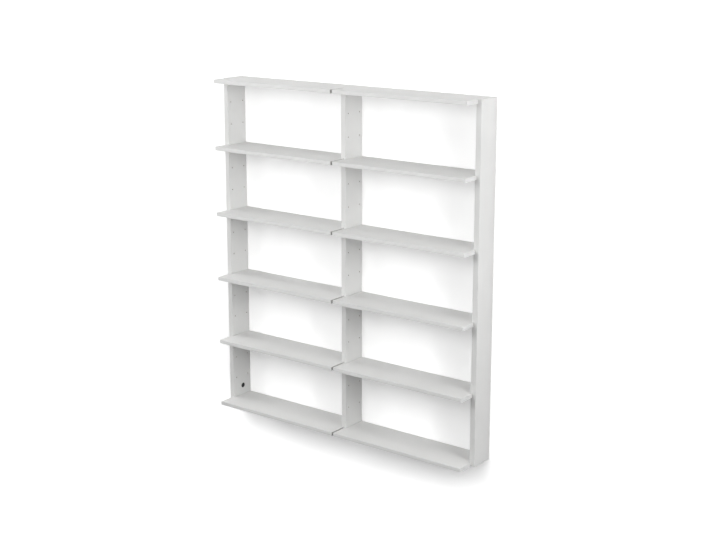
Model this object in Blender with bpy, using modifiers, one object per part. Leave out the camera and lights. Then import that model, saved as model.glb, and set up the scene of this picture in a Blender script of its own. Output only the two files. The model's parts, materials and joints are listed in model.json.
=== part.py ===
"""Wall shelf: three slim uprights carry two bays of T-shaped boards, open at the back.

The top and bottom boards are dowelled to the uprights. The boards between them slide on bent
wires that stand in the rows of holes in the uprights, so each one draws out to the front and
goes back at another height. The unit hangs on keyhole plates let into the uprights' rear edges,
and a cam low down in each outer upright locks onto a bolt in the wall.

Frame: +X to the right, +Y to the wall, +Z up, in metres. The origin lies on the wall plane, at
the middle of the middle upright's rear edge.
"""

import math

import bmesh
import bpy
from mathutils import Matrix
from mathutils import Vector

# Layout
LEVEL_COUNT = 6
SHELF_PITCH = 0.192
BAY_PITCH = 0.427
HOLES_PER_PITCH = 3

# Boards
UPRIGHT_THICKNESS = 0.016
UPRIGHT_DEPTH = 0.074
SHELF_THICKNESS = 0.011
NOSE_DEPTH = 0.053
NOSE_GAP = 0.005
EDGE_ROUND = 0.0009
EDGE_SEGMENTS = 2

# Clearances
TOUCH_GAP = 0.0003
SHELF_SIDE_GAP = 0.0006
WALL_GAP = 0.0005

# Shelf holes and support wires
HOLE_DIAMETER = 0.0034
HOLE_INSET = 0.012
HOLE_WEB = 0.002
WIRE_CLEARANCE = 0.0003
WIRE_FACE_GAP = 0.0016
WIRE_END_GAP = 0.0005

# Dowels of the fixed shelves
DOWEL_COVER = 0.0025
DOWEL_INSET = 0.019
DOWEL_CLEARANCE = 0.0003
DOWEL_IN_SHELF = 0.020
DOWEL_WEB = 0.002
DOWEL_END_GAP = 0.0004
DOWEL_CHAMFER = 0.0006

# Cams that lock onto the wall bolts
CAM_DIAMETER = 0.0146
CAM_SETBACK = 0.034
CAM_CLEARANCE = 0.0002
CAM_FLOOR = 0.0035
CAM_FACE_INSET = 0.0003
CAM_SKIN = 0.004
CAM_NECK = 0.0046
CAM_CAVITY_DIAMETER = 0.0088
CAM_CROSS_LENGTH = 0.0074
CAM_CROSS_WIDTH = 0.0017
CAM_CROSS_DEPTH = 0.0022
CAM_TURN = math.radians(175)
BOLT_BORE_WALL = 0.004

# Keyhole plates and their screws
PLATE_THICKNESS = 0.0015
PLATE_MARGIN = 0.002
PLATE_CORNER = 0.003
PLATE_INSET = 0.0002
KEYHOLE_RIM = 0.00125
KEYHOLE_SHOULDER = 0.00225
KEYHOLE_RISE = 0.011
POCKET_CLEARANCE = 0.0003
POCKET_DEPTH = 0.008
SCREW_LAND = 0.0022
SCREW_END_LAND = 0.003
SCREW_DIAMETER = 0.003
SCREW_HEAD_RIM = 0.0013
SCREW_LENGTH = 0.014
SCREW_TIP = 0.003
SCREW_CLEARANCE = 0.0003
SCREW_CROSS_LENGTH = 0.0030
SCREW_CROSS_WIDTH = 0.0007
SCREW_CROSS_DEPTH = 0.0008

# Width of a driver cross's arms at their tips, as a share of the width at the middle
CROSS_TAPER = 0.8

# Points nearer than this are one point
WELD_DISTANCE = 0.00001

# Faces that meet at more than this angle make a rim
RIM_ANGLE = math.radians(60)

# How far a cutter runs past the face that it enters
CUT_OVERRUN = 0.002

# Sides of the round pieces
HOLE_SIDES = 12
DOWEL_SIDES = 10
CAM_SIDES = 32
SCREW_SIDES = 12
ARC_STEPS = 6
BEND_STEPS = 3
WIRE_ROUND_STEPS = 2

# Colours, roughness and metallic value of each finish
WHITE_LACQUER = ((0.78, 0.78, 0.77), 0.45, 0.0)
ZINC_STEEL = ((0.62, 0.63, 0.65), 0.35, 1.0)
BEECH_WOOD = ((0.66, 0.48, 0.31), 0.7, 0.0)
BLACK_CAM = ((0.012, 0.012, 0.013), 0.5, 0.0)

# Sizes that follow from the ones above
UPRIGHT_HEIGHT = (LEVEL_COUNT - 1) * SHELF_PITCH + SHELF_THICKNESS
TOP_MID_Z = (UPRIGHT_HEIGHT - SHELF_THICKNESS) / 2
HOLE_STEP = SHELF_PITCH / HOLES_PER_PITCH
HOLE_DEPTH = (UPRIGHT_THICKNESS - HOLE_WEB) / 2
HOLE_ROW_COUNT = (LEVEL_COUNT - 1) * HOLES_PER_PITCH - 1
COLUMN_Y = (-HOLE_INSET, HOLE_INSET - UPRIGHT_DEPTH)
WIRE_RADIUS = HOLE_DIAMETER / 2 - WIRE_CLEARANCE
WIRE_BEND_RADIUS = WIRE_RADIUS + WIRE_FACE_GAP
KERF_HEIGHT = 2 * (WIRE_RADIUS + TOUCH_GAP)
KERF_DEPTH = WIRE_BEND_RADIUS + WIRE_RADIUS + TOUCH_GAP - SHELF_SIDE_GAP
NOSE_HALF_WIDTH = (BAY_PITCH - NOSE_GAP) / 2
BODY_HALF_WIDTH = (BAY_PITCH - UPRIGHT_THICKNESS) / 2 - SHELF_SIDE_GAP
DOWEL_RADIUS = SHELF_THICKNESS / 2 - DOWEL_COVER
DOWEL_IN_UPRIGHT = (UPRIGHT_THICKNESS - DOWEL_WEB) / 2
DOWEL_Y = (-DOWEL_INSET, DOWEL_INSET - UPRIGHT_DEPTH)
FITTING_Z = TOP_MID_Z - HOLE_STEP / 2
CAM_HEIGHT = UPRIGHT_THICKNESS - CAM_FLOOR - CAM_FACE_INSET - TOUCH_GAP
CAM_NECK_DROP = UPRIGHT_THICKNESS / 2 - CAM_FACE_INSET
CAM_CAVITY_HEIGHT = 2 * (CAM_NECK_DROP - CAM_SKIN)
BOLT_BORE_RADIUS = UPRIGHT_THICKNESS / 2 - BOLT_BORE_WALL
PLATE_WIDTH = UPRIGHT_THICKNESS - 2 * PLATE_MARGIN
RECESS_DEPTH = PLATE_INSET + PLATE_THICKNESS + TOUCH_GAP
KEYHOLE_ENTRY_RADIUS = PLATE_WIDTH / 2 - KEYHOLE_RIM
KEYHOLE_NECK_RADIUS = KEYHOLE_ENTRY_RADIUS - KEYHOLE_SHOULDER
POCKET_HALF_WIDTH = KEYHOLE_ENTRY_RADIUS + POCKET_CLEARANCE
POCKET_HALF_HEIGHT = KEYHOLE_RISE / 2 + POCKET_HALF_WIDTH
SCREW_RADIUS = SCREW_DIAMETER / 2
SCREW_HEAD_RADIUS = SCREW_RADIUS + SCREW_HEAD_RIM
SCREW_OFFSET = POCKET_HALF_HEIGHT + SCREW_LAND + SCREW_HEAD_RADIUS
PLATE_LENGTH = 2 * (SCREW_OFFSET + SCREW_HEAD_RADIUS + SCREW_END_LAND)
UPRIGHT_X = {"left": -BAY_PITCH, "middle": 0.0, "right": BAY_PITCH}
HOLED_FACES = {"left": (1,), "middle": (-1, 1), "right": (-1,)}
BAY_SIGN = {"left": -1, "right": 1}
FIXED_LEVELS = {"top": 0, "bottom": LEVEL_COUNT - 1}

# Turns a shape built along +Z so that it points along the named axis
ALONG_X = Matrix.Rotation(math.pi / 2, 4, "Y")
ALONG_Y = Matrix.Rotation(-math.pi / 2, 4, "X")
STANDING = Matrix.Rotation(math.pi, 4, "Z") @ Matrix.Rotation(math.pi / 2, 4, "X")


def clear_scene():
    for obj in list(bpy.data.objects):
        bpy.data.objects.remove(obj, do_unlink=True)


def new_collection(name):
    collection = bpy.data.collections.new(name)
    bpy.context.scene.collection.children.link(collection)
    return collection


def new_material(name, finish):
    colour, roughness, metallic = finish
    material = bpy.data.materials.new(name)
    material.use_nodes = True
    shader = material.node_tree.nodes["Principled BSDF"]
    shader.inputs["Base Color"].default_value = (*colour, 1.0)
    shader.inputs["Roughness"].default_value = roughness
    shader.inputs["Metallic"].default_value = metallic
    return material


def add_part(name, data, material, place=None):
    """A named sub-part with its own material, placed by its matrix."""
    obj = bpy.data.objects.new(name, data)
    obj.matrix_world = place or Matrix.Identity(4)
    PARTS.objects.link(obj)
    if not data.materials:
        data.materials.append(material)
    return obj


def add_cutter(name, shape):
    """A hidden cutter made from a bmesh."""
    mesh = bpy.data.meshes.new(name)
    shape.to_mesh(mesh)
    shape.free()
    obj = bpy.data.objects.new(name, mesh)
    obj.display_type = "WIRE"
    obj.hide_render = True
    CUTTERS.objects.link(obj)
    return obj


def cut(part, cutter):
    modifier = part.modifiers.new("cut_" + cutter.name, "BOOLEAN")
    modifier.operation = "DIFFERENCE"
    modifier.solver = "EXACT"
    modifier.object = cutter


def round_edges(part):
    modifier = part.modifiers.new("rounded_edges", "BEVEL")
    modifier.width = EDGE_ROUND
    modifier.segments = EDGE_SEGMENTS
    modifier.limit_method = "ANGLE"
    modifier.use_clamp_overlap = True


def put_box(shape, low, high):
    """Adds a box between two corners to a bmesh."""
    low = Vector(low)
    high = Vector(high)
    place = Matrix.Translation((low + high) / 2) @ Matrix.Diagonal((*(high - low), 1.0))
    bmesh.ops.create_cube(shape, size=1.0, matrix=place)


def put_rod(shape, radius, start, length, turn, sides, end_radius=None):
    """Adds a cylinder or cone that starts at a point and runs along a turned +Z."""
    middle = Matrix.Translation((0.0, 0.0, length / 2))
    bmesh.ops.create_cone(
        shape,
        cap_ends=True,
        segments=sides,
        radius1=radius,
        radius2=radius if end_radius is None else end_radius,
        depth=length,
        matrix=Matrix.Translation(start) @ turn @ middle,
    )


def shelf_z(level):
    return TOP_MID_Z - level * SHELF_PITCH


def face_x(upright, side):
    """The X of an upright's left (-1) or right (1) face."""
    return UPRIGHT_X[upright] + side * UPRIGHT_THICKNESS / 2


def blind_hole(shape, radius, face, side, depth, y, z, sides):
    """A hole that enters a board's face along X, against the face's outward side."""
    start = Vector((face - side * depth, y, z))
    turn = ALONG_X if side > 0 else ALONG_X.inverted()
    put_rod(shape, radius, start, depth + CUT_OVERRUN, turn, sides)


def mesh_from_curve(curve_object):
    """The curve's evaluated mesh with its caps welded; the curve itself is removed."""
    graph = bpy.context.evaluated_depsgraph_get()
    mesh = bpy.data.meshes.new_from_object(curve_object.evaluated_get(graph))
    shape = bmesh.new()
    shape.from_mesh(mesh)
    bmesh.ops.remove_doubles(shape, verts=shape.verts, dist=WELD_DISTANCE)
    shape.to_mesh(mesh)
    shape.free()
    bpy.data.objects.remove(curve_object, do_unlink=True)
    return mesh


def outline_mesh(name, outlines, thickness):
    """A flat plate from closed outlines; every outline after the first is a hole."""
    curve = bpy.data.curves.new(name, "CURVE")
    curve.dimensions = "2D"
    curve.fill_mode = "BOTH"
    curve.extrude = thickness / 2
    for outline in outlines:
        spline = curve.splines.new("POLY")
        spline.points.add(len(outline) - 1)
        for point, (x, y) in zip(spline.points, outline):
            point.co = (x, y, 0.0, 1.0)
        spline.use_cyclic_u = True
    holder = bpy.data.objects.new(name, curve)
    PARTS.objects.link(holder)
    bpy.context.view_layer.update()
    mesh = mesh_from_curve(holder)
    mesh.name = name
    return mesh


def arc(centre, radius, start, end, steps):
    """Points of an arc in a plane, both ends included, with its angles in radians."""
    points = []
    for step in range(steps + 1):
        angle = start + (end - start) * step / steps
        points.append((centre[0] + radius * math.cos(angle), centre[1] + radius * math.sin(angle)))
    return points


def upright_blank(name):
    """One slim board on edge, its rear edge on the wall plane."""
    half = UPRIGHT_THICKNESS / 2
    shape = bmesh.new()
    put_box(
        shape,
        (-half, -UPRIGHT_DEPTH, -UPRIGHT_HEIGHT / 2),
        (half, 0.0, UPRIGHT_HEIGHT / 2),
    )
    mesh = bpy.data.meshes.new(name)
    shape.to_mesh(mesh)
    shape.free()
    return mesh


def shelf_hole_cutter(upright):
    """Two columns of blind holes on each face that looks into a bay."""
    shape = bmesh.new()
    for side in HOLED_FACES[upright]:
        for row in range(1, HOLE_ROW_COUNT + 1):
            for y in COLUMN_Y:
                z = TOP_MID_Z - row * HOLE_STEP
                face = face_x(upright, side)
                blind_hole(shape, HOLE_DIAMETER / 2, face, side, HOLE_DEPTH, y, z, HOLE_SIDES)
    return add_cutter("shelf_holes_" + upright, shape)


def dowel_hole_cutter(upright):
    """Blind dowel holes at the heights of the fixed shelves."""
    shape = bmesh.new()
    radius = DOWEL_RADIUS + DOWEL_CLEARANCE
    for side in HOLED_FACES[upright]:
        for level in FIXED_LEVELS.values():
            for y in DOWEL_Y:
                face = face_x(upright, side)
                z = shelf_z(level)
                blind_hole(shape, radius, face, side, DOWEL_IN_UPRIGHT, y, z, DOWEL_SIDES)
    return add_cutter("dowel_holes_" + upright, shape)


def cut_hanger_seat(upright, part):
    """The recess for the keyhole plate, the pocket for a screw head and two pilot holes."""
    x = UPRIGHT_X[upright]
    half_width = PLATE_WIDTH / 2 + TOUCH_GAP
    half_length = PLATE_LENGTH / 2 + TOUCH_GAP
    shape = bmesh.new()
    put_box(
        shape,
        (x - half_width, -RECESS_DEPTH, FITTING_Z - half_length),
        (x + half_width, CUT_OVERRUN, FITTING_Z + half_length),
    )
    cut(part, add_cutter("plate_recess_" + upright, shape))

    shape = bmesh.new()
    put_box(
        shape,
        (x - POCKET_HALF_WIDTH, -RECESS_DEPTH - POCKET_DEPTH, FITTING_Z - POCKET_HALF_HEIGHT),
        (x + POCKET_HALF_WIDTH, CUT_OVERRUN, FITTING_Z + POCKET_HALF_HEIGHT),
    )
    cut(part, add_cutter("head_pocket_" + upright, shape))

    depth = PLATE_INSET + SCREW_LENGTH + TOUCH_GAP
    shape = bmesh.new()
    for offset in (-SCREW_OFFSET, SCREW_OFFSET):
        start = (x, -depth, FITTING_Z + offset)
        radius = SCREW_RADIUS + SCREW_CLEARANCE
        put_rod(shape, radius, start, depth + CUT_OVERRUN, ALONG_Y, SCREW_SIDES)
    cut(part, add_cutter("plate_pilots_" + upright, shape))


def cut_cam_seat(upright, part):
    """The round seat of a cam, and the bore that the wall bolt enters by from the rear edge."""
    side = HOLED_FACES[upright][0]
    radius = CAM_DIAMETER / 2 + CAM_CLEARANCE
    depth = UPRIGHT_THICKNESS - CAM_FLOOR
    shape = bmesh.new()
    blind_hole(shape, radius, face_x(upright, side), side, depth, -CAM_SETBACK, -FITTING_Z, CAM_SIDES)
    cut(part, add_cutter("cam_seat_" + upright, shape))

    shape = bmesh.new()
    start = (UPRIGHT_X[upright], -CAM_SETBACK, -FITTING_Z)
    put_rod(shape, BOLT_BORE_RADIUS, start, CAM_SETBACK + CUT_OVERRUN, ALONG_Y, DOWEL_SIDES)
    cut(part, add_cutter("bolt_bore_" + upright, shape))


def make_uprights(material):
    for upright, x in UPRIGHT_X.items():
        name = "upright_" + upright
        part = add_part(name, upright_blank(name), material, Matrix.Translation((x, 0.0, 0.0)))
        round_edges(part)
        cut(part, shelf_hole_cutter(upright))
        cut(part, dowel_hole_cutter(upright))
        cut_hanger_seat(upright, part)
        if upright != "middle":
            cut_cam_seat(upright, part)


def shelf_outline():
    """The T in plan: a body between the uprights and a wider nose in front of them."""
    front = -UPRIGHT_DEPTH - NOSE_DEPTH
    shoulder = -UPRIGHT_DEPTH - TOUCH_GAP
    return [
        (-NOSE_HALF_WIDTH, front),
        (NOSE_HALF_WIDTH, front),
        (NOSE_HALF_WIDTH, shoulder),
        (BODY_HALF_WIDTH, shoulder),
        (BODY_HALF_WIDTH, -WALL_GAP),
        (-BODY_HALF_WIDTH, -WALL_GAP),
        (-BODY_HALF_WIDTH, shoulder),
        (-NOSE_HALF_WIDTH, shoulder),
    ]


def kerf_cutter(name, place):
    """Grooves in both shelf ends, open to the rear, that take the support wires."""
    shape = bmesh.new()
    front = COLUMN_Y[1] - WIRE_RADIUS - TOUCH_GAP
    for side in (-1, 1):
        inner = side * (BODY_HALF_WIDTH - KERF_DEPTH)
        outer = side * (BODY_HALF_WIDTH + CUT_OVERRUN)
        put_box(
            shape,
            (min(inner, outer), front, -KERF_HEIGHT / 2),
            (max(inner, outer), CUT_OVERRUN, KERF_HEIGHT / 2),
        )
    bmesh.ops.transform(shape, matrix=place, verts=shape.verts)
    return add_cutter(name, shape)


def shelf_dowel_cutter(name, place):
    """Dowel holes in both ends of a fixed shelf."""
    shape = bmesh.new()
    radius = DOWEL_RADIUS + DOWEL_CLEARANCE
    for side in (-1, 1):
        for y in DOWEL_Y:
            face = side * BODY_HALF_WIDTH
            blind_hole(shape, radius, face, side, DOWEL_IN_SHELF, y, 0.0, DOWEL_SIDES)
    bmesh.ops.transform(shape, matrix=place, verts=shape.verts)
    return add_cutter(name, shape)


def bay_place(bay, level):
    return Matrix.Translation((BAY_SIGN[bay] * BAY_PITCH / 2, 0.0, shelf_z(level)))


def make_fixed_shelves(blank, material):
    for bay in BAY_SIGN:
        for row, level in FIXED_LEVELS.items():
            place = bay_place(bay, level)
            part = add_part(f"{row}_shelf_{bay}", blank, material, place)
            round_edges(part)
            cut(part, shelf_dowel_cutter(f"dowel_holes_{row}_{bay}", place))


def make_adjustable_shelves(blank, material):
    for bay in BAY_SIGN:
        for level in range(1, LEVEL_COUNT - 1):
            place = bay_place(bay, level)
            part = add_part(f"shelf_{bay}_{level + 1}", blank, material, place)
            round_edges(part)
            cut(part, kerf_cutter(f"kerfs_{bay}_{level + 1}", place))


def wire_curve():
    """A wire with both ends bent over, its legs pointing along -X from the upright's face."""
    half_run = (COLUMN_Y[0] - COLUMN_Y[1]) / 2
    leg_end = -(HOLE_DEPTH - WIRE_END_GAP)
    quarter = math.pi / 2
    front_bend = arc((0.0, WIRE_BEND_RADIUS - half_run), WIRE_BEND_RADIUS, -quarter, 0.0, BEND_STEPS)
    rear_bend = arc((0.0, half_run - WIRE_BEND_RADIUS), WIRE_BEND_RADIUS, 0.0, quarter, BEND_STEPS)
    route = [(leg_end, -half_run), *front_bend, *rear_bend, (leg_end, half_run)]
    curve = bpy.data.curves.new("support_wire", "CURVE")
    curve.dimensions = "3D"
    curve.bevel_depth = WIRE_RADIUS
    curve.bevel_resolution = WIRE_ROUND_STEPS
    curve.use_fill_caps = True
    spline = curve.splines.new("POLY")
    spline.points.add(len(route) - 1)
    for point, (x, y) in zip(spline.points, route):
        point.co = (x, y, 0.0, 1.0)
    return curve


def bay_end_face(bay, end):
    """The upright face at a bay's outer or inner end, and the side of the upright it is on."""
    side = -BAY_SIGN[bay] if end == "outer" else BAY_SIGN[bay]
    upright = bay if end == "outer" else "middle"
    return face_x(upright, side), side


def make_support_wires(material):
    curve = wire_curve()
    for bay in BAY_SIGN:
        for level in range(1, LEVEL_COUNT - 1):
            for end in ("outer", "inner"):
                face, side = bay_end_face(bay, end)
                turn = Matrix.Rotation(0.0 if side > 0 else math.pi, 4, "Z")
                place = Matrix.Translation((face, sum(COLUMN_Y) / 2, shelf_z(level))) @ turn
                add_part(f"support_wire_{bay}_{level + 1}_{end}", curve, material, place)


def dowel_mesh():
    """A round peg with chamfered ends, along Z, its shelf end up."""
    length = DOWEL_IN_SHELF + SHELF_SIDE_GAP + DOWEL_IN_UPRIGHT - 2 * DOWEL_END_GAP
    bottom = DOWEL_END_GAP - DOWEL_IN_UPRIGHT
    shape = bmesh.new()
    start = Vector((0.0, 0.0, bottom))
    put_rod(shape, DOWEL_RADIUS, start, length, Matrix.Identity(4), DOWEL_SIDES)
    rims = [edge for edge in shape.edges if edge.calc_face_angle() > RIM_ANGLE]
    chamfer = min(DOWEL_CHAMFER, DOWEL_RADIUS / 2)
    bmesh.ops.bevel(shape, geom=rims, offset=chamfer, segments=1, profile=0.5, affect="EDGES")
    mesh = bpy.data.meshes.new("dowel")
    shape.to_mesh(mesh)
    shape.free()
    return mesh


def make_dowels(material):
    mesh = dowel_mesh()
    for bay in BAY_SIGN:
        for row, level in FIXED_LEVELS.items():
            for end in ("outer", "inner"):
                face, side = bay_end_face(bay, end)
                turn = ALONG_X if side > 0 else ALONG_X.inverted()
                for spot, y in zip(("rear", "front"), DOWEL_Y):
                    place = Matrix.Translation((face, y, shelf_z(level))) @ turn
                    add_part(f"dowel_{row}_{bay}_{end}_{spot}", mesh, material, place)


def keyhole_outline():
    """A round entry below and a narrow neck above it, which drops over a screw in the wall."""
    meet = math.acos(KEYHOLE_NECK_RADIUS / KEYHOLE_ENTRY_RADIUS)
    low = (0.0, -KEYHOLE_RISE / 2)
    high = (0.0, KEYHOLE_RISE / 2)
    entry = arc(low, KEYHOLE_ENTRY_RADIUS, math.pi - meet, 2 * math.pi + meet, 2 * ARC_STEPS)
    neck = arc(high, KEYHOLE_NECK_RADIUS, 0.0, math.pi, ARC_STEPS)
    return [*entry, *neck]


def plate_outline():
    """A slim plate with rounded corners."""
    points = []
    for turn, (x_side, y_side) in enumerate(((1, 1), (-1, 1), (-1, -1), (1, -1))):
        centre = (
            x_side * (PLATE_WIDTH / 2 - PLATE_CORNER),
            y_side * (PLATE_LENGTH / 2 - PLATE_CORNER),
        )
        start = turn * math.pi / 2
        points.extend(arc(centre, PLATE_CORNER, start, start + math.pi / 2, ARC_STEPS // 2))
    return points


def countersink_cutter(upright, place):
    """Cones that let the two screw heads lie flush in a plate."""
    waist = SCREW_RADIUS + SCREW_CLEARANCE
    mouth = waist + SCREW_HEAD_RIM + CUT_OVERRUN
    shape = bmesh.new()
    for offset in (-SCREW_OFFSET, SCREW_OFFSET):
        start = (0.0, offset, PLATE_THICKNESS / 2 - SCREW_HEAD_RIM)
        length = SCREW_HEAD_RIM + CUT_OVERRUN
        put_rod(shape, waist, start, length, Matrix.Identity(4), SCREW_SIDES, end_radius=mouth)
    bmesh.ops.transform(shape, matrix=place, verts=shape.verts)
    return add_cutter("countersinks_" + upright, shape)


def plate_shank_cutter(upright, place):
    """Straight holes below the countersinks."""
    shape = bmesh.new()
    for offset in (-SCREW_OFFSET, SCREW_OFFSET):
        start = (0.0, offset, -PLATE_THICKNESS / 2 - CUT_OVERRUN)
        length = PLATE_THICKNESS + CUT_OVERRUN
        put_rod(shape, SCREW_RADIUS + SCREW_CLEARANCE, start, length, Matrix.Identity(4), SCREW_SIDES)
    bmesh.ops.transform(shape, matrix=place, verts=shape.verts)
    return add_cutter("shank_holes_" + upright, shape)


def make_hanger_plates(material):
    mesh = outline_mesh("hanger_plate", [plate_outline(), keyhole_outline()], PLATE_THICKNESS)
    for upright, x in UPRIGHT_X.items():
        place = Matrix.Translation((x, -PLATE_INSET - PLATE_THICKNESS / 2, FITTING_Z)) @ STANDING
        part = add_part("hanger_plate_" + upright, mesh, material, place)
        cut(part, plate_shank_cutter(upright, place))
        cut(part, countersink_cutter(upright, place))


def screw_profile():
    """Half the outline of a countersunk screw, from the middle of its head down to its tip."""
    return [
        (0.0, 0.0),
        (SCREW_HEAD_RADIUS, 0.0),
        (SCREW_RADIUS, -SCREW_HEAD_RIM),
        (SCREW_RADIUS, SCREW_TIP - SCREW_LENGTH),
        (0.0, -SCREW_LENGTH),
    ]


def turned_mesh(name, profile):
    """Edges of a profile in the XZ plane, for a Screw modifier to turn."""
    shape = bmesh.new()
    corners = [shape.verts.new((x, 0.0, z)) for x, z in profile]
    for upper, lower in zip(corners, corners[1:]):
        shape.edges.new((upper, lower))
    mesh = bpy.data.meshes.new(name)
    shape.to_mesh(mesh)
    shape.free()
    return mesh


def turn_round(part, steps):
    modifier = part.modifiers.new("turned", "SCREW")
    modifier.axis = "Z"
    modifier.steps = steps
    modifier.render_steps = steps
    modifier.use_merge_vertices = True
    modifier.merge_threshold = WELD_DISTANCE


def cross_cutter(name, length, width, depth, place):
    """A cross-shaped driver recess, as one body, sunk from local z = 0."""
    arm = length / 2
    half = width / 2
    tip = half * CROSS_TAPER
    outline = []
    for turn in range(4):
        quarter = Matrix.Rotation(turn * math.pi / 2, 2)
        outline.extend(quarter @ Vector(point) for point in ((arm, -tip), (arm, tip), (half, half)))
    mesh = outline_mesh(name, [outline], depth + CUT_OVERRUN)
    shape = bmesh.new()
    shape.from_mesh(mesh)
    sink = Matrix.Translation((0.0, 0.0, (CUT_OVERRUN - depth) / 2))
    bmesh.ops.transform(shape, matrix=place @ sink, verts=shape.verts)
    bpy.data.meshes.remove(mesh)
    return add_cutter(name, shape)


def make_hanger_screws(material):
    mesh = turned_mesh("hanger_screw", screw_profile())
    for upright, x in UPRIGHT_X.items():
        for spot, offset in (("lower", -SCREW_OFFSET), ("upper", SCREW_OFFSET)):
            place = Matrix.Translation((x, -PLATE_INSET, FITTING_Z + offset)) @ ALONG_Y
            part = add_part(f"hanger_screw_{upright}_{spot}", mesh, material, place)
            turn_round(part, SCREW_SIDES)
            name = f"driver_cross_{upright}_{spot}"
            cross = (SCREW_CROSS_LENGTH, SCREW_CROSS_WIDTH, SCREW_CROSS_DEPTH)
            cut(part, cross_cutter(name, *cross, place))


def cam_blank():
    """A round cam whose visible face is at local z = 0."""
    shape = bmesh.new()
    start = Vector((0.0, 0.0, -CAM_HEIGHT))
    put_rod(shape, CAM_DIAMETER / 2, start, CAM_HEIGHT, Matrix.Identity(4), CAM_SIDES)
    mesh = bpy.data.meshes.new("wall_cam")
    shape.to_mesh(mesh)
    shape.free()
    return mesh


def cam_cavity_cutters(name, place):
    """The cavity for a bolt head, the neck slot over half the rim and the mouth that joins them."""
    rim = CAM_DIAMETER / 2 + CUT_OVERRUN
    half_head = CAM_CAVITY_HEIGHT / 2
    half_neck = CAM_NECK / 2
    cavity = bmesh.new()
    start = Vector((0.0, 0.0, -CAM_NECK_DROP - half_head))
    put_rod(cavity, CAM_CAVITY_DIAMETER / 2, start, CAM_CAVITY_HEIGHT, Matrix.Identity(4), DOWEL_SIDES)
    neck = bmesh.new()
    put_box(
        neck,
        (-rim, -half_neck, -CAM_NECK_DROP - half_neck),
        (rim, rim, -CAM_NECK_DROP + half_neck),
    )
    mouth = bmesh.new()
    put_box(
        mouth,
        (0.0, -half_head, -CAM_NECK_DROP - half_head),
        (rim, half_head, -CAM_NECK_DROP + half_head),
    )
    cutters = []
    for kind, shape in (("cavity", cavity), ("neck", neck), ("mouth", mouth)):
        bmesh.ops.transform(shape, matrix=place, verts=shape.verts)
        cutters.append(add_cutter(f"cam_{kind}_{name}", shape))
    return cutters


def make_wall_cams(material):
    mesh = cam_blank()
    for upright in BAY_SIGN:
        side = HOLED_FACES[upright][0]
        x = face_x(upright, side) - side * CAM_FACE_INSET
        turn = ALONG_X if side > 0 else ALONG_X.inverted()
        locked = Matrix.Rotation(math.pi / 2 - CAM_TURN, 4, "Z")
        place = Matrix.Translation((x, -CAM_SETBACK, -FITTING_Z)) @ turn @ locked
        part = add_part("wall_cam_" + upright, mesh, material, place)
        for cutter in cam_cavity_cutters(upright, place):
            cut(part, cutter)
        cross = (CAM_CROSS_LENGTH, CAM_CROSS_WIDTH, CAM_CROSS_DEPTH)
        cut(part, cross_cutter("cam_cross_" + upright, *cross, place))


clear_scene()
PARTS = new_collection("wall_shelf")
CUTTERS = new_collection("wall_shelf_cutters")
CUTTERS.hide_render = True
LACQUER = new_material("white_lacquer", WHITE_LACQUER)
STEEL = new_material("zinc_steel", ZINC_STEEL)
SHELF_BLANK = outline_mesh("shelf_blank", [shelf_outline()], SHELF_THICKNESS)
make_uprights(LACQUER)
make_fixed_shelves(SHELF_BLANK, LACQUER)
make_adjustable_shelves(SHELF_BLANK, LACQUER)
make_support_wires(STEEL)
make_dowels(new_material("beech_wood", BEECH_WOOD))
make_hanger_plates(STEEL)
make_hanger_screws(STEEL)
make_wall_cams(new_material("black_cam", BLACK_CAM))
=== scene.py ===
# %% [markdown]
# # A white wall shelf
#
# Three slim uprights hang on a wall and carry two bays of T-shaped shelves. Every board, wire, dowel, plate,
# screw and cam arrives as a finished solid in the imported frame, already in its right place and size. This lesson
# gives those solids their finishes, makes finer cams, hangs the unit on a studio wall, lights it softly and sets
# up the camera.
#
# The first step loads the frame. Its box is kept, because the wall and the floor are placed from it.

import json
import math

import bmesh
import bpy
from mathutils import Matrix
from mathutils import Vector


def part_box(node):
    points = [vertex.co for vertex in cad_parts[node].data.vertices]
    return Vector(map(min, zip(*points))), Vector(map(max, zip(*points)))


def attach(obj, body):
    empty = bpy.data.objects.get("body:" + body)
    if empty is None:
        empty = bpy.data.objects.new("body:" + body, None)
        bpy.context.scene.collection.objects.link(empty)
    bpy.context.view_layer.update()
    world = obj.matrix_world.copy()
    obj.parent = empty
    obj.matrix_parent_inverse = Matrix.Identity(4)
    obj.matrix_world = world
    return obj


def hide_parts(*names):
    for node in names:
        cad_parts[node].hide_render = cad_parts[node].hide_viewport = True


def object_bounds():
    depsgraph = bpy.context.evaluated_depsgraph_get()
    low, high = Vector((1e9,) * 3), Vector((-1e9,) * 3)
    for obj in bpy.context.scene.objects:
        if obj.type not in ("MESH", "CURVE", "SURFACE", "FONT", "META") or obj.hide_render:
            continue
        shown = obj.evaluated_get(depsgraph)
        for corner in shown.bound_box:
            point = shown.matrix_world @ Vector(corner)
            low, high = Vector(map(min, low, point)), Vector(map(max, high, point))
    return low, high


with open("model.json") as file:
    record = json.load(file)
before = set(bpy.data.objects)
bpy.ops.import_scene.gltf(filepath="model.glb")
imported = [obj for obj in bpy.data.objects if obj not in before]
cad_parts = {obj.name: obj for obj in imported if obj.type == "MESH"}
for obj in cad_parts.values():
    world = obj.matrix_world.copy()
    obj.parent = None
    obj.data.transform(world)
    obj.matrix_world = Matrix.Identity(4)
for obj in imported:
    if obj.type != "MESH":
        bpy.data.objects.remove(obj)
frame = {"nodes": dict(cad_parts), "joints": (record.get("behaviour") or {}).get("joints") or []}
nodes = frame["nodes"]
cad_low, cad_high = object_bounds()
print("loaded", len(nodes), "pieces,", [round(side, 4) for side in cad_high - cad_low], "metres overall")

# %% [markdown]
# ## Measure the boards
#
# The finishes below need to know where a board's faces, edges and drilled insides are. Typing those sizes again
# would break as soon as the model changes, so they are read from the boxes of the loaded pieces: one upright, one
# shelf, and the steps from one upright and one shelf to the next.

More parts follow.
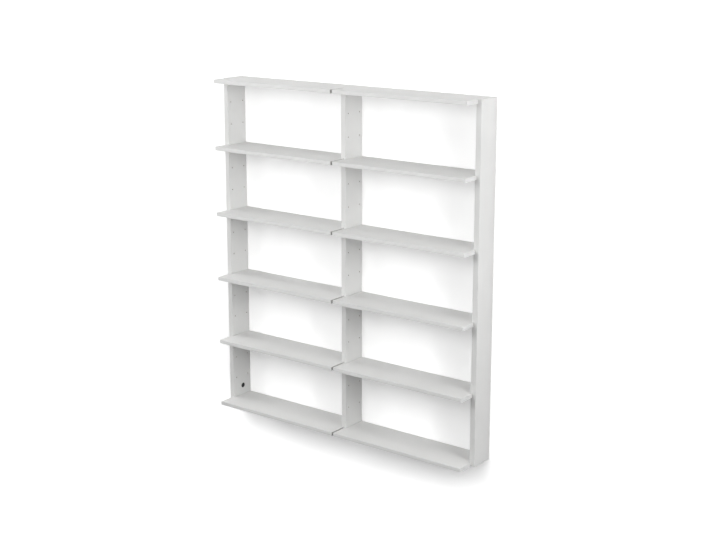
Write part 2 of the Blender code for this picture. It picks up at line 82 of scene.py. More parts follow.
# %% Measure the boards
def box_of(node):
    """The middle of a piece's box, and half of each side."""
    low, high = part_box(node)
    return (low + high) / 2, (high - low) / 2


upright_middle, upright_half = box_of("upright_middle")
shelf_middle, shelf_half = box_of("shelf_right_3")
bay_pitch = box_of("upright_right")[0].x - upright_middle.x
shelf_pitch = box_of("shelf_right_2")[0].z - shelf_middle.z
print("bays every", round(bay_pitch, 4), "and shelves every", round(shelf_pitch, 4), "metres")

# %% [markdown]
# ## Link and calculate
#
# A finish is a tree of nodes. Building it by hand in the editor is fine for one material, but finishes that share
# the same ideas are easier to read as short calls. Two helpers are enough for sums: the first links an output to an
# input, or writes a plain value there, and the second adds a math node and returns its output.

# %% Link and calculate
def feed(tree, value, socket):
    """Links an output to an input, or writes a plain value on the input."""
    if isinstance(value, bpy.types.NodeSocket):
        tree.links.new(value, socket)
    else:
        socket.default_value = value


def calc(tree, operation, first, second=0.0):
    node = tree.nodes.new("ShaderNodeMath")
    node.operation = operation
    feed(tree, first, node.inputs[0])
    feed(tree, second, node.inputs[1])
    return node.outputs[0]


print("math helpers ready")

# %% [markdown]
# ## How deep inside a board is a point?
#
# The boards are lacquered outside, but the drilled holes, the grooves and the fittings' recesses show the raw core.
# Painting each hole by hand would be slow. Instead the finish works out how far a point lies below each pair of
# opposite faces. Where all three depths are more than half a millimetre, the point is on the wall of a hole. Where
# the second smallest depth is small, the point is near an edge, and that is where lacquer wears.
#
# The uprights repeat every bay and the shelves every level, so a ping-pong node folds all of them onto one. Between
# the uprights a shelf is narrower than its nose, so its body and its nose have sides of their own.

# %% Depths below a board's faces
SHELF_SIDE_GAP = 0.0006

body_half_width = bay_pitch / 2 - upright_half.x - SHELF_SIDE_GAP


def depth_between(tree, value, middle, half):
    offset = calc(tree, "ABSOLUTE", calc(tree, "SUBTRACT", value, middle))
    return calc(tree, "SUBTRACT", half, offset)


def smallest(tree, depths):
    first, second, third = depths
    return calc(tree, "MINIMUM", calc(tree, "MINIMUM", first, second), third)


def second_smallest(tree, depths):
    first, second, third = depths
    lower = calc(tree, "MINIMUM", first, second)
    upper = calc(tree, "MAXIMUM", first, second)
    return calc(tree, "MAXIMUM", lower, calc(tree, "MINIMUM", upper, third))


def upright_depths(tree, x, y, z):
    """How deep a point lies inside an upright, and how far it is from the nearest edge."""
    from_middle = calc(tree, "PINGPONG", x, bay_pitch / 2)
    depths = [
        calc(tree, "SUBTRACT", upright_half.x, from_middle),
        depth_between(tree, y, upright_middle.y, upright_half.y),
        depth_between(tree, z, upright_middle.z, upright_half.z),
    ]
    return smallest(tree, depths), second_smallest(tree, depths)


def shelf_depths(tree, x, y, z):
    """The same for a shelf: the depth inside its body, and the distance from its nose's edges."""
    from_level = calc(tree, "SUBTRACT", shelf_pitch / 2, calc(tree, "PINGPONG", z, shelf_pitch / 2))
    across = calc(tree, "ABSOLUTE", x)
    thick = calc(tree, "SUBTRACT", shelf_half.z, from_level)
    deep = depth_between(tree, y, shelf_middle.y, shelf_half.y)
    nose = [depth_between(tree, across, bay_pitch / 2, shelf_half.x), deep, thick]
    body = [depth_between(tree, across, bay_pitch / 2, body_half_width), deep, thick]
    return smallest(tree, body), second_smallest(tree, nose)


print("a shelf's body is", round(2 * body_half_width, 4), "and its nose", round(2 * shelf_half.x, 4), "metres wide")

# %% [markdown]
# ## Painted shade in the narrow gaps
#
# In front of the middle upright the noses of two shelves end a few millimetres apart. That narrow slot lies in shade,
# and a painted shade in the lacquer makes it darker still: a mask that is 1 on the nose ends and on the bit of front
# edge behind them, 0 elsewhere. A soft step does the masking, and it is the first helper that the finishes share.

# %% Painted shade in the narrow gaps
# A grey painted into the gaps between the noses as shade.
GAP_PAINTED_SHADE = (0.48, 0.47, 0.455, 1.0)
GAP_CORE = 0.6
BESIDE_NOSE = 1.6
NOSE_END, BEHIND_NOSE_END = 1.05, 1.35
EDGE_SKIN, BELOW_EDGE_SKIN = 0.0005, 0.002

nose_gap = bay_pitch / 2 - shelf_half.x
upright_front = upright_middle.y - upright_half.y


def fade(tree, value, start, end, low=0.0, high=1.0):
    """A soft step from low, where the value is start, to high, where it is end."""
    node = tree.nodes.new("ShaderNodeMapRange")
    node.interpolation_type = "SMOOTHSTEP"
    feed(tree, value, node.inputs["Value"])
    feed(tree, start, node.inputs["From Min"])
    feed(tree, end, node.inputs["From Max"])
    feed(tree, low, node.inputs["To Min"])
    feed(tree, high, node.inputs["To Max"])
    return node.outputs["Result"]


def upright_gap_shade(tree, x, y, z):
    """Painted shade on the front edge where the gap between two noses ends against the middle upright."""
    in_gap = fade(tree, calc(tree, "ABSOLUTE", x), nose_gap, nose_gap * GAP_CORE)
    half_pitch = shelf_pitch / 2
    level = calc(tree, "PINGPONG", z, half_pitch)
    beside = fade(tree, level, half_pitch - shelf_half.z * BESIDE_NOSE, half_pitch - shelf_half.z)
    at_front = fade(tree, y, upright_front + BELOW_EDGE_SKIN, upright_front + EDGE_SKIN)
    return calc(tree, "MULTIPLY", calc(tree, "MULTIPLY", in_gap, beside), at_front)


def shelf_gap_shade(tree, x, y, z):
    """Painted shade on the nose ends that face each other in front of the middle upright."""
    return fade(tree, calc(tree, "ABSOLUTE", x), nose_gap * BEHIND_NOSE_END, nose_gap * NOSE_END)


print("the noses end", round(2 * nose_gap, 4), "metres apart")

# %% [markdown]
# ## Patterns, blends and bumps
#
# Real surfaces are never quite even, and noise is the simplest way to say so. These helpers start a finish and add
# its parts: a noise that can be stretched along a board, a blend of two colours, and a bump. All patterns use Object
# coordinates, because the pieces sit at the origin and a pattern then keeps its real scale. A number that is the same
# all over a surface is never sent through nodes: it is written straight on the shader.

# %% Patterns, blends and bumps
def new_finish(name, roughness, metallic=0.0):
    finish = bpy.data.materials.new(name)
    finish.use_nodes = True
    tree = finish.node_tree
    shader = tree.nodes["Principled BSDF"]
    shader.inputs["Roughness"].default_value = roughness
    shader.inputs["Metallic"].default_value = metallic
    return finish, tree, shader


def piece_coordinates(tree):
    """Object coordinates, whole and split into X, Y and Z."""
    where = tree.nodes.new("ShaderNodeTexCoord").outputs["Object"]
    split = tree.nodes.new("ShaderNodeSeparateXYZ")
    tree.links.new(where, split.inputs["Vector"])
    return where, [split.outputs[axis] for axis in "XYZ"]


def noise(tree, where, scale, detail=2.0, stretch=(1.0, 1.0, 1.0)):
    spread = tree.nodes.new("ShaderNodeMapping")
    spread.inputs["Scale"].default_value = stretch
    tree.links.new(where, spread.inputs["Vector"])
    node = tree.nodes.new("ShaderNodeTexNoise")
    node.inputs["Scale"].default_value = scale
    node.inputs["Detail"].default_value = detail
    tree.links.new(spread.outputs["Vector"], node.inputs["Vector"])
    return node.outputs["Fac"]


def blend(tree, share, first, second):
    node = tree.nodes.new("ShaderNodeMix")
    node.data_type = "RGBA"
    colours = [socket for socket in node.inputs if socket.type == "RGBA"]
    feed(tree, share, node.inputs["Factor"])
    for colour, socket in zip((first, second), colours):
        feed(tree, colour, socket)
    return next(socket for socket in node.outputs if socket.type == "RGBA")


def bump(tree, height, strength, distance, below=None):
    node = tree.nodes.new("ShaderNodeBump")
    node.inputs["Strength"].default_value = strength
    node.inputs["Distance"].default_value = distance
    tree.links.new(height, node.inputs["Height"])
    if below is not None:
        tree.links.new(below, node.inputs["Normal"])
    return node.outputs["Normal"]


print("pattern helpers ready")

# %% [markdown]
# ## White lacquer
#
# The boards have a silk-matt off-white lacquer. A flat white would look like paper, so it gets what a sprayed board
# has: soft clouds that are hardly darker than the rest, a fine peel that breaks up reflections, faint spray lines
# along the board, and edges where the lacquer is rubbed thin. Inside the holes and grooves it gives way to the raw
# core, a pressed board of tan fibres.

# %% White lacquer
LACQUER_PALE = (0.815, 0.815, 0.806, 1.0)
LACQUER_DEEP = (0.785, 0.785, 0.776, 1.0)
LACQUER_WORN = (0.66, 0.655, 0.64, 1.0)
LACQUER_ROUGHNESS = 0.54
LACQUER_GLOSS = 0.35
RUBBED_FROM, RUBBED_FULLY = 0.0016, 0.0002
RUBBED_MOST = 0.45
CORE_PALE = (0.40, 0.35, 0.29, 1.0)
CORE_DARK = (0.24, 0.20, 0.155, 1.0)
CORE_ROUGHNESS = 0.85
COAT_ENDS, CORE_STARTS = 0.00045, 0.0006
ALONG_UPRIGHT = (1.0, 1.0, 0.03)
ALONG_SHELF = (0.03, 1.0, 1.0)


def coat_colour(tree, where, clouds, edge, gap_shade):
    coat = blend(tree, fade(tree, clouds, start=0.35, end=0.65), LACQUER_DEEP, LACQUER_PALE)
    patches = fade(tree, noise(tree, where, scale=55.0, detail=4.0), start=0.42, end=0.68)
    rubbed = calc(tree, "MULTIPLY", fade(tree, edge, RUBBED_FROM, RUBBED_FULLY), patches)
    coat = blend(tree, calc(tree, "MULTIPLY", rubbed, RUBBED_MOST), coat, LACQUER_WORN)
    # The gap mask, broken up by specks, blends in a grey: painted shade in the narrow gaps.
    specks = fade(tree, noise(tree, where, scale=260.0, detail=4.0), start=0.30, end=0.62, low=0.55, high=0.95)
    return blend(tree, calc(tree, "MULTIPLY", gap_shade, specks), coat, GAP_PAINTED_SHADE)


def core_colour(tree, where):
    fibres = noise(tree, where, scale=900.0, detail=3.0)
    return blend(tree, fade(tree, fibres, start=0.35, end=0.65), CORE_DARK, CORE_PALE)


def lacquer_finish(name, depths_of, gap_shade_of, along):
    finish, tree, shader = new_finish(name, LACQUER_ROUGHNESS)
    shader.inputs["Specular IOR Level"].default_value = LACQUER_GLOSS
    where, axes = piece_coordinates(tree)
    inside, edge = depths_of(tree, *axes)
    raw = fade(tree, inside, COAT_ENDS, CORE_STARTS)
    clouds = noise(tree, where, scale=6.0, detail=3.0)
    lines = noise(tree, where, scale=140.0, detail=1.0, stretch=along)

    coat = coat_colour(tree, where, clouds, edge, gap_shade_of(tree, *axes))
    feed(tree, blend(tree, raw, coat, core_colour(tree, where)), shader.inputs["Base Color"])

    cloudy = fade(tree, clouds, start=0.3, end=0.7, low=0.50, high=0.58)
    satin = calc(tree, "ADD", cloudy, calc(tree, "MULTIPLY", lines, 0.06))
    rough = calc(tree, "MAXIMUM", satin, calc(tree, "MULTIPLY", raw, CORE_ROUGHNESS))
    feed(tree, rough, shader.inputs["Roughness"])

    peel = bump(tree, noise(tree, where, scale=1100.0, detail=1.0), strength=0.10, distance=0.0004)
    feed(tree, bump(tree, lines, strength=0.05, distance=0.0006, below=peel), shader.inputs["Normal"])
    return finish


upright_lacquer = lacquer_finish("upright_lacquer", upright_depths, upright_gap_shade, ALONG_UPRIGHT)
shelf_lacquer = lacquer_finish("shelf_lacquer", shelf_depths, shelf_gap_shade, ALONG_SHELF)
print("lacquer:", len(shelf_lacquer.node_tree.nodes), "nodes")

# %% [markdown]
# ## Zinc plated steel
#
# The wires, the keyhole plates and their screws are plated steel. Plating is never even: it has small crystals, a
# faint yellow and blue tint where it was passivated, and fine handling marks. A picture of plated steel would need
# unwrapping and would show its seams, so crystals come from a cell pattern, the tint from a slow noise, and another
# noise moves the roughness, so that highlights break up.

# %% Zinc plated steel
ZINC_BLUE = (0.56, 0.59, 0.63, 1.0)
ZINC_YELLOW = (0.66, 0.64, 0.58, 1.0)
ZINC_DULL = (0.45, 0.46, 0.47, 1.0)
ZINC_ROUGHNESS = 0.35
CRYSTAL_SCALE = 1400.0
CRYSTAL_CONTRAST = 0.35


def zinc_crystals(tree, where):
    """A grey of its own for each crystal."""
    cells = tree.nodes.new("ShaderNodeTexVoronoi")
    cells.inputs["Scale"].default_value = CRYSTAL_SCALE
    tree.links.new(where, cells.inputs["Vector"])
    shade = tree.nodes.new("ShaderNodeRGBToBW")
    tree.links.new(cells.outputs["Color"], shade.inputs["Color"])
    return calc(tree, "MULTIPLY", shade.outputs["Val"], CRYSTAL_CONTRAST)


def zinc_finish():
    finish, tree, shader = new_finish("zinc_plated_steel", ZINC_ROUGHNESS, metallic=1.0)
    where = piece_coordinates(tree)[0]
    tint = blend(tree, fade(tree, noise(tree, where, scale=90.0), start=0.35, end=0.65), ZINC_BLUE, ZINC_YELLOW)
    feed(tree, blend(tree, zinc_crystals(tree, where), tint, ZINC_DULL), shader.inputs["Base Color"])
    rough = fade(tree, noise(tree, where, scale=420.0), start=0.3, end=0.7, low=0.26, high=0.46)
    feed(tree, rough, shader.inputs["Roughness"])
    marks = noise(tree, where, scale=700.0, detail=2.0, stretch=(1.0, 1.0, 0.08))
    feed(tree, bump(tree, marks, strength=0.15, distance=0.0002), shader.inputs["Normal"])
    return finish


zinc_steel = zinc_finish()
print("zinc:", len(zinc_steel.node_tree.nodes), "nodes")

# %% [markdown]
# ## Beech dowels
#
# The dowels are turned from beech, with the grain along the peg. Rings round a tree's axis would be right for a thick
# piece of wood, but a peg of 8 mm shows only fine streaks. So a noise stretched along X draws the grain, and a second
# one, shorter and sparser, draws the small dark flecks that beech is known by.

# %% Beech dowels
BEECH_PALE = (0.72, 0.54, 0.36, 1.0)
BEECH_DEEP = (0.58, 0.40, 0.25, 1.0)
BEECH_FLECK = (0.36, 0.22, 0.13, 1.0)
BEECH_ROUGHNESS = 0.68


def beech_finish():
    finish, tree, shader = new_finish("turned_beech", BEECH_ROUGHNESS)
    where = piece_coordinates(tree)[0]
    grain = noise(tree, where, scale=900.0, detail=3.0, stretch=(0.05, 1.0, 1.0))
    wood = blend(tree, fade(tree, grain, start=0.35, end=0.65), BEECH_DEEP, BEECH_PALE)
    sparse = noise(tree, where, scale=1600.0, detail=1.0, stretch=(0.25, 1.0, 1.0))
    flecks = fade(tree, sparse, start=0.66, end=0.74)
    feed(tree, blend(tree, flecks, wood, BEECH_FLECK), shader.inputs["Base Color"])
    feed(tree, fade(tree, grain, start=0.3, end=0.7, low=0.6, high=0.78), shader.inputs["Roughness"])
    feed(tree, bump(tree, grain, strength=0.3, distance=0.0002), shader.inputs["Normal"])
    return finish


turned_beech = beech_finish()
print("beech:", len(turned_beech.node_tree.nodes), "nodes")

# %% [markdown]
# ## Black cams
#
# A cam is a small zinc casting with a thin black coat. The coat takes on the grain of the casting, and it is a
# little greyer where a screwdriver and fingers have rubbed it. A fine noise gives the grain, in gloss and in bump, and
# a slower one the rubbed places.

# %% Black cams
CAM_BLACK = (0.004, 0.004, 0.0045, 1.0)
CAM_GREY = (0.014, 0.014, 0.015, 1.0)
CAM_ROUGHNESS = 0.5


def cam_finish():
    finish, tree, shader = new_finish("black_casting", CAM_ROUGHNESS)
    where = piece_coordinates(tree)[0]
    grain = noise(tree, where, scale=2200.0, detail=3.0)
    rubbed = fade(tree, noise(tree, where, scale=320.0, detail=2.0), start=0.45, end=0.7)
    feed(tree, blend(tree, rubbed, CAM_BLACK, CAM_GREY), shader.inputs["Base Color"])
    feed(tree, fade(tree, grain, start=0.3, end=0.7, low=0.42, high=0.62), shader.inputs["Roughness"])
    feed(tree, bump(tree, grain, strength=0.35, distance=0.0002), shader.inputs["Normal"])
    return finish


black_casting = cam_finish()
print("cam black:", len(black_casting.node_tree.nodes), "nodes")

# %% [markdown]
# ## Dress the pieces
#
# Each loaded piece gets the finish of its kind. Setting 58 slots by hand invites mistakes, so the kinds are told apart
# by the first word of the piece's name. A piece that is added later with the same naming gets its finish too.

# %% Dress the pieces
FINISH_OF = {
    "upright": upright_lacquer,
    "top": shelf_lacquer,
    "bottom": shelf_lacquer,
    "shelf": shelf_lacquer,
    "support": zinc_steel,
    "hanger": zinc_steel,
    "dowel": turned_beech,
    "wall": black_casting,
}
for name, piece in nodes.items():
    piece.data.materials.clear()
    piece.data.materials.append(FINISH_OF[name.split("_")[0]])
print("dressed", len(nodes), "pieces")

# %% [markdown]
# ## A finer cam: the blank
#
# Low in each outer upright sits a cam. Half a turn with a screwdriver locks it round the neck of a bolt in the wall.
# The solid from the frame has the right size and cavity, but it is plain, so a finer casting takes its place. A plain
# cylinder with bevelled edges would come close. Spinning a profile is as short and gives more: a broken rim and a face
# that is dished a little. The blank stands at the middle of the world, face up, where its sizes are easy to think
# about.

# %% A finer cam: the blank
CAM_SEGMENTS = 72
CAM_RIM = 0.0004
CAM_DISH = 0.0002
CAM_MERGE = 1e-6

cam_half = box_of("wall_cam_left")[1]
cam_radius = cam_half.y
cam_height = 2 * cam_half.x


def working_object(name, shape):
    """An object for a bmesh that is only needed while something is made."""
    mesh = bpy.data.meshes.new(name)
    shape.to_mesh(mesh)
    shape.free()
    thing = bpy.data.objects.new(name, mesh)
    bpy.context.scene.collection.objects.link(thing)
    return thing


def cam_blank():
    shape = bmesh.new()
    inner, outer = cam_radius - 3 * CAM_RIM, cam_radius - CAM_RIM
    profile = [
        (0.0, -CAM_DISH),
        (inner, -CAM_DISH),
        (outer, 0.0),
        (cam_radius, -CAM_RIM),
        (cam_radius, CAM_RIM - cam_height),
        (outer, -cam_height),
        (0.0, -cam_height),
    ]
    points = [shape.verts.new((radius, 0.0, height)) for radius, height in profile]
    edges = [shape.edges.new(pair) for pair in zip(points, points[1:])]
    bmesh.ops.spin(shape, geom=points + edges, cent=(0, 0, 0), axis=(0, 0, 1), dvec=(0, 0, 0),
                   angle=2 * math.pi, steps=CAM_SEGMENTS, use_merge=True)
    bmesh.ops.remove_doubles(shape, verts=shape.verts, dist=CAM_MERGE)
    bmesh.ops.recalc_face_normals(shape, faces=shape.faces)
    return working_object("cam_blank", shape)


print("cam:", round(2 * cam_radius, 4), "across and", round(cam_height, 4), "high")

# %% [markdown]
# ## A finer cam: the cutters
#
# The casting is hollow: it has room for the bolt's head, a slot for its neck, and a mouth where the bolt comes in. Its
# face has a cross for the screwdriver, and an arrow that shows where the mouth looks. These could be pulled out of the
# blank face by face, but cutting them is shorter, so each is a small block or rod for a Boolean modifier. The bolt
# enters at half the thickness of the upright.

# %% A finer cam: the cutters
BOLT_HEAD_ROOM = 0.0088
BOLT_NECK_ROOM = 0.0046
CAM_SKIN = 0.004
CROSS_ARM, CROSS_WIDTH, CROSS_DEPTH = 0.0074, 0.0017, 0.0022
CROSS_TAPER = 0.6
ARROW_SPOT, ARROW_SIZE, ARROW_DEPTH = 0.0052, 0.0011, 0.0005
ARROW_SIDES = 3

bolt_depth = abs(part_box("wall_cam_left")[1].x - box_of("upright_left")[0].x)


def block_cutter(name, low, high, taper=1.0):
    """A block between two corners; its lower end can be narrower."""
    low, high = Vector(low), Vector(high)
    size = Matrix.Diagonal((*(high - low), 1.0))
    shape = bmesh.new()
    bmesh.ops.create_cube(shape, size=1.0, matrix=Matrix.Translation((low + high) / 2) @ size)
    lower = [vert for vert in shape.verts if vert.co.z < (low.z + high.z) / 2]
    bmesh.ops.scale(shape, verts=lower, vec=(taper, taper, 1.0))
    return working_object(name, shape)


def round_cutter(name, radius, height, middle, segments):
    """A rod along Z, or with three segments a wedge that points along X."""
    place = Matrix.Translation(middle) @ Matrix.Rotation(-math.pi / 2, 4, "Z")
    shape = bmesh.new()
    bmesh.ops.create_cone(shape, cap_ends=True, segments=segments, radius1=radius, radius2=radius, depth=height,
                          matrix=place)
    return working_object(name, shape)


def cam_cutters():
    beyond = cam_radius + CAM_RIM
    head = bolt_depth - CAM_SKIN
    neck = BOLT_NECK_ROOM / 2
    arm, half = CROSS_ARM / 2, CROSS_WIDTH / 2
    return [
        round_cutter("bolt_head", BOLT_HEAD_ROOM / 2, 2 * head, (0, 0, -bolt_depth), CAM_SEGMENTS),
        block_cutter("bolt_neck", (-beyond, -neck, -bolt_depth - neck), (beyond, beyond, neck - bolt_depth)),
        block_cutter("mouth", (0, -head, -bolt_depth - head), (beyond, head, head - bolt_depth)),
        block_cutter("cross_long", (-arm, -half, -CROSS_DEPTH), (arm, half, CAM_RIM), CROSS_TAPER),
        block_cutter("cross_wide", (-half, -arm, -CROSS_DEPTH), (half, arm, CAM_RIM), CROSS_TAPER),
        round_cutter("arrow", ARROW_SIZE, 2 * ARROW_DEPTH, (ARROW_SPOT, 0, -CAM_DISH), ARROW_SIDES),
    ]


print("the bolt lies", round(bolt_depth, 4), "metres below the cam's face")

# %% [markdown]
# ## Cut the casting
#
# Boolean modifiers on the blank take the cutters away one by one. Applying them through the editor's operators needs a
# selection and a context, so the evaluated result is copied into a new mesh instead, and blank and cutters are thrown
# away. Smooth shading with sharp edges keeps the round side round and the cuts crisp.

# %% Cut the casting
SHARP_EDGE = math.radians(35)


def cut_cam():
    blank = cam_blank()
    cutters = cam_cutters()
    for cutter in cutters:
        cut = blank.modifiers.new(cutter.name, "BOOLEAN")
        cut.operation = "DIFFERENCE"
        cut.solver = "EXACT"
        cut.object = cutter
    bpy.context.view_layer.update()
    graph = bpy.context.evaluated_depsgraph_get()
    mesh = bpy.data.meshes.new_from_object(blank.evaluated_get(graph))
    for thing in [blank] + cutters:
        used = thing.data
        bpy.data.objects.remove(thing, do_unlink=True)
        bpy.data.meshes.remove(used)
    mesh.shade_smooth()
    mesh.set_sharp_from_angle(angle=SHARP_EDGE)
    return mesh


cam_mesh = cut_cam()
print("casting:", len(cam_mesh.polygons), "faces")

# %% [markdown]
# ## Set the cams in place
#
# Two copies of the casting go to their seats. At rest a cam is locked, with its mouth and arrow turned away from the
# wall by the whole range of its joint. The turn is put into the mesh and not on the object, so that the object stays at
# the origin as the loaded pieces do. Each copy rides on the body of the cam that it stands for, so it turns with it.

# %% Set the cams in place
def seat_cam(joint, mesh):
    body = joint["child"]
    side = joint["axis"][0]
    low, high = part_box(body)
    face_x = high.x if side > 0 else low.x
    middle = (low + high) / 2
    seat = Matrix.Translation((face_x, middle.y, middle.z)) @ Matrix.Rotation(side * math.pi / 2, 4, "Y")
    locked = Matrix.Rotation(math.pi / 2 - math.radians(joint["range_deg"][1]), 4, "Z")
    mesh.transform(seat @ locked)
    mesh.materials.append(black_casting)
    casting = bpy.data.objects.new(body + "_casting", mesh)
    bpy.context.scene.collection.objects.link(casting)
    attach(casting, body)
    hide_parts(body)
    print(casting.name, "faces the", "right" if side > 0 else "left")


for joint in frame["joints"]:
    if joint["type"] == "hinge":
        seat_cam(joint, cam_mesh.copy())
bpy.data.meshes.remove(cam_mesh)

# %% [markdown]
# ## Lift the wall towards white
#
# The real unit hangs on a white wall that carries its soft shadow. Lamps that make the wall look white would be too
# bright for the unit, so to the camera it is lifted towards white instead. The lift is low where a board stands close
# to the wall, which an ambient occlusion node finds when it looks up and to the right instead of straight out. So a
# painted shadow, on top of the lamps' own shadows, makes the wall darkest just below a shelf and left of an upright.
# Far from the unit the lift is full, and the wall seems to have no end.

# %% Lift the wall towards white
LOOK_UP_RIGHT = (0.63, -0.64, 0.44)
LOOK_REACH = 0.18
COVERED, OPEN = 0.61, 0.99
LIFT_COVERED, LIFT_OPEN, LIFT_FULL = 0.25, 0.74, 1.0
NEAR_UNIT, FAR_FROM_UNIT = 1.2, 2.2


def seen_directly(tree):
    """1 for a ray that shows a surface to the camera, straight or in gloss or glass."""
    path = tree.nodes.new("ShaderNodeLightPath")
    glossy = calc(tree, "MAXIMUM", path.outputs["Is Glossy Ray"], path.outputs["Is Transmission Ray"])
    return calc(tree, "MAXIMUM", path.outputs["Is Camera Ray"], glossy)


def stage_lift(tree, where):
    """How far the wall is lifted towards white: least beside a board, which paints a shadow there, and fully white far
    from the unit.
    """
    direction = tree.nodes.new("ShaderNodeCombineXYZ")
    for axis, value in zip("XYZ", LOOK_UP_RIGHT):
        direction.inputs[axis].default_value = value
    open_air = tree.nodes.new("ShaderNodeAmbientOcclusion")
    open_air.inputs["Distance"].default_value = LOOK_REACH
    tree.links.new(direction.outputs["Vector"], open_air.inputs["Normal"])
    # A low lift beside the boards paints shadow onto the wall.
    near = fade(tree, open_air.outputs["AO"], COVERED, OPEN, LIFT_COVERED, LIFT_OPEN)
    distance = tree.nodes.new("ShaderNodeVectorMath")
    distance.operation = "LENGTH"
    tree.links.new(where, distance.inputs[0])
    return fade(tree, distance.outputs["Value"], NEAR_UNIT, FAR_FROM_UNIT, near, LIFT_FULL)


look_angle = Vector(LOOK_UP_RIGHT).angle(Vector((0.0, -1.0, 0.0)))
print("the wall looks", round(math.degrees(look_angle), 1), "degrees away from straight out")

# %% [markdown]
# ## Studio white
#
# Wall and floor share one finish with two sides to it. Light that reaches the unit comes from a plain diffuse white,
# which is greyer on the floor. The camera sees a paler diffuse white, which keeps the shadows of the lamps, with the
# lift added as a glow. From behind, the wall lets the view through, so that the back of the unit can be looked at.

# %% Studio white
WALL_WHITE = (0.80, 0.80, 0.80, 1.0)
FLOOR_GREY = (0.355, 0.355, 0.355, 1.0)
SEEN_WHITE = (0.94, 0.94, 0.94, 1.0)
FLOOR_DROP = 0.75
COVE_RADIUS = 0.45

floor_z = cad_low.z - FLOOR_DROP


def choose(tree, share, first, second):
    node = tree.nodes.new("ShaderNodeMixShader")
    for value, socket in zip((share, first, second), node.inputs):
        tree.links.new(value, socket)
    return node.outputs[0]


def stage_finish():
    finish = bpy.data.materials.new("studio_white")
    finish.use_nodes = True
    tree = finish.node_tree
    tree.nodes.remove(tree.nodes["Principled BSDF"])
    where, axes = piece_coordinates(tree)

    plain = tree.nodes.new("ShaderNodeBsdfDiffuse")
    height = fade(tree, axes[2], floor_z, floor_z + COVE_RADIUS)
    feed(tree, blend(tree, height, FLOOR_GREY, WALL_WHITE), plain.inputs["Color"])
    shown = tree.nodes.new("ShaderNodeBsdfDiffuse")
    shown.inputs["Color"].default_value = SEEN_WHITE
    lift = tree.nodes.new("ShaderNodeEmission")
    feed(tree, stage_lift(tree, where), lift.inputs["Strength"])
    lifted = tree.nodes.new("ShaderNodeAddShader")
    tree.links.new(shown.outputs[0], lifted.inputs[0])
    tree.links.new(lift.outputs[0], lifted.inputs[1])

    surface = choose(tree, seen_directly(tree), plain.outputs[0], lifted.outputs[0])
    clear = tree.nodes.new("ShaderNodeBsdfTransparent")
    behind = tree.nodes.new("ShaderNodeNewGeometry").outputs["Backfacing"]
    surface = choose(tree, behind, surface, clear.outputs[0])
    tree.links.new(surface, tree.nodes["Material Output"].inputs["Surface"])
    return finish


studio_white = stage_finish()
print("studio white:", len(studio_white.node_tree.nodes), "nodes")

# %% [markdown]
# ## Wall and floor
#
# Two planes would do for a wall and a floor, but a line would show where they meet. So they are one sheet: a flat wall
# whose lower edge is extruded forwards, with the corner between them bevelled into a wide cove, as in a studio. The
# wall stands a hair behind the uprights. Behind it lies a second floor for views from there. Neither sheet throws a
# shadow, so the lamps shine past them.

# %% Wall and floor
WALL_GAP = 0.0008
STAGE_REACH = 5.0
COVE_STEPS = 16
AT_FLOOR = 0.001

wall_y = cad_high.y + WALL_GAP


def stage_sheet(name, shape):
    mesh = bpy.data.meshes.new(name)
    shape.to_mesh(mesh)
    shape.free()
    mesh.materials.append(studio_white)
    sheet = bpy.data.objects.new(name, mesh)
    bpy.context.scene.collection.objects.link(sheet)
    sheet.visible_shadow = False


def wall_shape():
    shape = bmesh.new()
    facing_front = Matrix.Rotation(math.pi / 2, 4, "X")
    place = Matrix.Translation((0.0, wall_y, floor_z + STAGE_REACH)) @ facing_front
    bmesh.ops.create_grid(shape, x_segments=1, y_segments=1, size=STAGE_REACH, matrix=place)
    foot = [edge for edge in shape.edges if all(abs(vert.co.z - floor_z) < AT_FLOOR for vert in edge.verts)]
    floor_part = bmesh.ops.extrude_edge_only(shape, edges=foot)["geom"]
    moved = [thing for thing in floor_part if isinstance(thing, bmesh.types.BMVert)]
    bmesh.ops.translate(shape, verts=moved, vec=(0.0, -STAGE_REACH, 0.0))
    bmesh.ops.bevel(shape, geom=foot, offset=COVE_RADIUS, offset_type="OFFSET", segments=COVE_STEPS,
                    profile=0.5, affect="EDGES", material=-1)
    for face in shape.faces:
        face.smooth = True
    return shape


def rear_floor_shape():
    shape = bmesh.new()
    place = Matrix.Translation((0.0, wall_y + STAGE_REACH, floor_z))
    bmesh.ops.create_grid(shape, x_segments=1, y_segments=1, size=STAGE_REACH, matrix=place)
    return shape


stage_sheet("studio_wall", wall_shape())
stage_sheet("studio_floor", rear_floor_shape())
print("wall at y =", round(wall_y, 4), "and floor at z =", round(floor_z, 4))

# %% [markdown]
# ## Soft lamps
#
# The photograph was taken in soft light from several sides: noses, tops, inner and outer faces each have an even tone
# of their own. One large lamp couldn't give that, so six square area lamps stand in front of the wall: two on the
# right, two on the left, one in the middle and one high above. Their powers were set by comparing the render's tones
# with the photograph's, one kind of face at a time. A seventh lamp lights the back for views from there.

# %% Soft lamps
UNIT_MIDDLE = (0.0, 0.0, 0.0)
UPPER_MIDDLE = (0.0, 0.0, 0.35)


def soft_lamp(name, where, aim, side, power):
    lamp = bpy.data.lights.new(name, "AREA")
    lamp.shape = "SQUARE"
    lamp.size = side
    lamp.energy = power
    holder = bpy.data.objects.new(name, lamp)
    bpy.context.scene.collection.objects.link(holder)
    turn = (Vector(aim) - Vector(where)).to_track_quat("-Z", "Y").to_matrix().to_4x4()
    holder.matrix_world = Matrix.Translation(where) @ turn
    holder.visible_camera = False


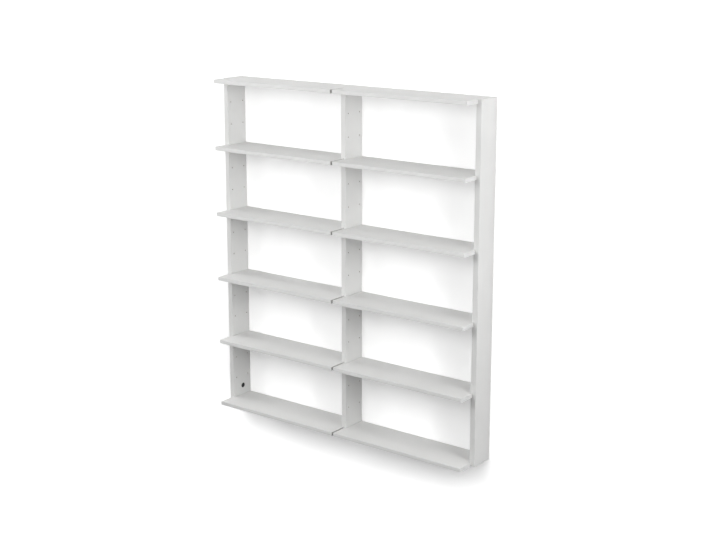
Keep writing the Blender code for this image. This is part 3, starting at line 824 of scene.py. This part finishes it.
soft_lamp("side_right_near", (2.07, -0.67, 0.66), UPPER_MIDDLE, side=0.8, power=15.2)
soft_lamp("side_right_far", (3.04, -0.99, 0.15), UPPER_MIDDLE, side=1.1, power=13.1)
soft_lamp("side_left_near", (-2.10, -0.56, 0.66), UPPER_MIDDLE, side=0.8, power=15.3)
soft_lamp("left_low", (-2.26, -2.26, 0.35), UPPER_MIDDLE, side=1.1, power=15.7)
soft_lamp("front_near", (0.0, -1.93, 0.87), UPPER_MIDDLE, side=0.8, power=16.3)
soft_lamp("high", (0.0, -1.5, 4.6), UNIT_MIDDLE, side=1.1, power=35.5)
soft_lamp("behind", (0.0, 4.5, 0.2), UNIT_MIDDLE, side=2.0, power=52.0)

# %% [markdown]
# ## Studio air
#
# Light that has bounced round a white room many times comes from everywhere. The world stands in for it with a low,
# even light. Wherever nothing stands in front of it, the camera sees it as plain white. An even world has no bright
# spots to aim at, so it needs no light map.

# %% Studio air
AIR_WHITE = (1.0, 1.0, 1.0, 1.0)
AIR_LIGHT, AIR_SEEN = 0.05, 1.0

world = bpy.data.worlds.new("studio_air")
bpy.context.scene.world = world
world.use_nodes = True
air = world.node_tree
backdrop = air.nodes["Background"]
backdrop.inputs["Color"].default_value = AIR_WHITE
level = fade(air, seen_directly(air), 0.0, 1.0, AIR_LIGHT, AIR_SEEN)
air.links.new(level, backdrop.inputs["Strength"])
world.cycles.sampling_method = "NONE"
print("air:", len(air.nodes), "nodes")

# %% [markdown]
# ## Camera
#
# The photograph looks at the unit from the right and a little above. Place, turn and lens come from lining up the
# model's corners with the same corners in the photograph.

# %% Camera
CAMERA_PLACE = (2.1573, -2.8392, 0.8720)
CAMERA_YAW = math.radians(37.311)
CAMERA_DIP = math.radians(12.635)
CAMERA_LENS = 66.058
CAMERA_SHIFT = -0.0503

view = bpy.data.cameras.new("photo_view")
view.lens = CAMERA_LENS
view.shift_y = CAMERA_SHIFT
eye = bpy.data.objects.new("photo_view", view)
eye.location = CAMERA_PLACE
eye.rotation_euler = (math.pi / 2 - CAMERA_DIP, 0.0, CAMERA_YAW)
bpy.context.scene.collection.objects.link(eye)
bpy.context.scene.camera = eye
bpy.context.scene.view_settings.view_transform = "Standard"
print("camera", round((eye.location - upright_middle).length, 3), "metres from the unit")
